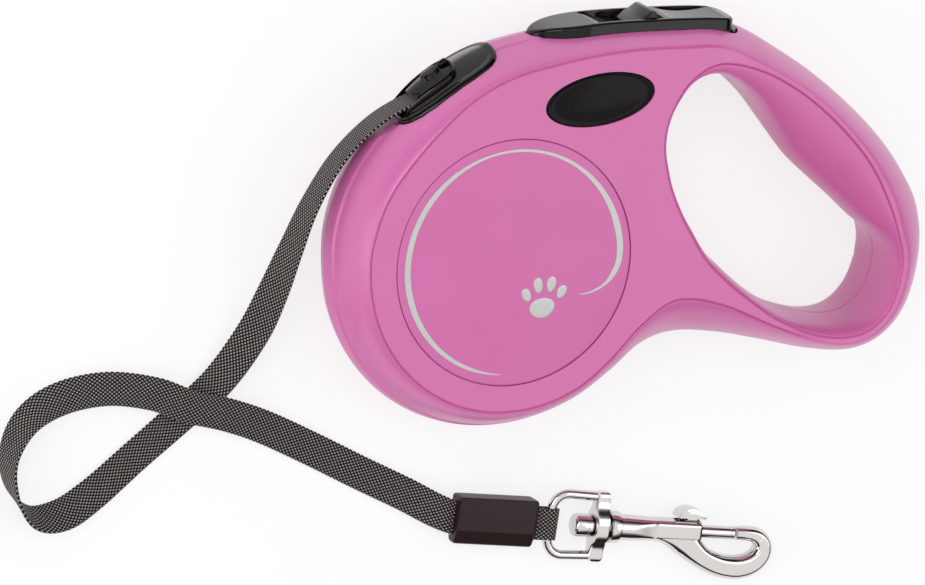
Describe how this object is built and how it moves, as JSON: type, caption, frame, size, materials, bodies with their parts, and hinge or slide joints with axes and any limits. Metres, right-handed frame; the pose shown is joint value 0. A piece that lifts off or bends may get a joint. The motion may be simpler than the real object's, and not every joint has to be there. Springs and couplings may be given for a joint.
{
  "type": "retractable leash",
  "caption": "Retractable tape leash: rounded two-part case with hand grip, brake button and lock, sprung spool, flat tape paid out to a sleeve, swivel ring and bolt snap.",
  "frame": {"origin": "on the spool axis, at the outer face of the side the case lies on", "axes": "+X from the spool axis towards the hand grip, +Y towards the brake button, +Z along the spool axis up from the rest face"},
  "size_m": [0.2504, 0.1592, 0.03],
  "materials": {
    "case_plastic": "fine satin moulded plastic",
    "disc_plastic": "smooth satin disc",
    "silver_print": "thin silver inlay",
    "gloss_black": "glossy brown-black",
    "slider_black": "glossy brown-black",
    "steel": "plain steel",
    "spring_steel": "bluish spring steel",
    "spool_plastic": "grey acetal",
    "tape_weave": "black woven nylon tape",
    "sleeve_rubber": "satin moulded cover",
    "chrome": "polished zinc plated chrome"
  },
  "bodies": {
    "case": {"left_shell": "case_plastic", "right_shell": "case_plastic", "left_disc": "disc_plastic", "right_disc": "disc_plastic", "left_trim_ring": "silver_print", "right_trim_ring": "silver_print", "left_badge": "gloss_black", "right_badge": "gloss_black", "outlet_shield": "gloss_black", "outlet_guide": "gloss_black", "outlet_pin": "steel", "spool_axle": "steel", "case_screws": "steel", "pivot_pin": "steel", "power_spring": "spring_steel", "button_spring": "spring_steel", "tape_run": "tape_weave", "tape_loop": "tape_weave", "tape_sleeve": "sleeve_rubber"},
    "spool": {"spool_drum": "spool_plastic", "ratchet_flange": "spool_plastic", "tape_pack": "tape_weave"},
    "button": {"brake_button": "gloss_black", "brake_pawl": "steel"},
    "lock": {"lock_slider": "slider_black"},
    "ring": {"swivel_ring": "chrome"},
    "snap": {"snap_body": "chrome", "bolt_spring": "spring_steel"},
    "bolt": {"snap_bolt": "chrome", "bolt_knob": "chrome"}
  },
  "joints": [
    {"name": "spool_spin", "type": "hinge", "parent": "case", "child": "spool", "pos_m": [0, 0, 0.015], "axis": [0, 0, 1], "continuous": true, "deforming": ["power_spring"]},
    {"name": "button_press", "type": "hinge", "parent": "case", "child": "button", "pos_m": [0.013, 0.0522, 0.015], "axis": [0, 0, -1], "range_deg": [0, 5], "stiffness_Nm_per_rad": 1, "springref_deg": -3.44, "deforming": ["button_spring"]},
    {"name": "lock_slide", "type": "slide", "parent": "button", "child": "lock", "axis": [1, 0, 0], "range_m": [0, 0.003]},
    {"name": "ring_tilt", "type": "hinge", "parent": "case", "child": "ring", "pos_m": [0.02545, -0.07786, 0.0043], "axis": [-0.1045, -0.9945, 0], "range_deg": [-50, 80]},
    {"name": "snap_swivel", "type": "hinge", "parent": "ring", "child": "snap", "pos_m": [0.0344, -0.0788, 0.0043], "axis": [0.9945, -0.1045, 0], "continuous": true},
    {"name": "bolt_slide", "type": "slide", "parent": "snap", "child": "bolt", "axis": [-0.9945, 0.1045, 0], "range_m": [0, 0.0095], "stiffness_N_per_m": 300, "springref_m": -0.004, "deforming": ["bolt_spring"]}
  ]
}
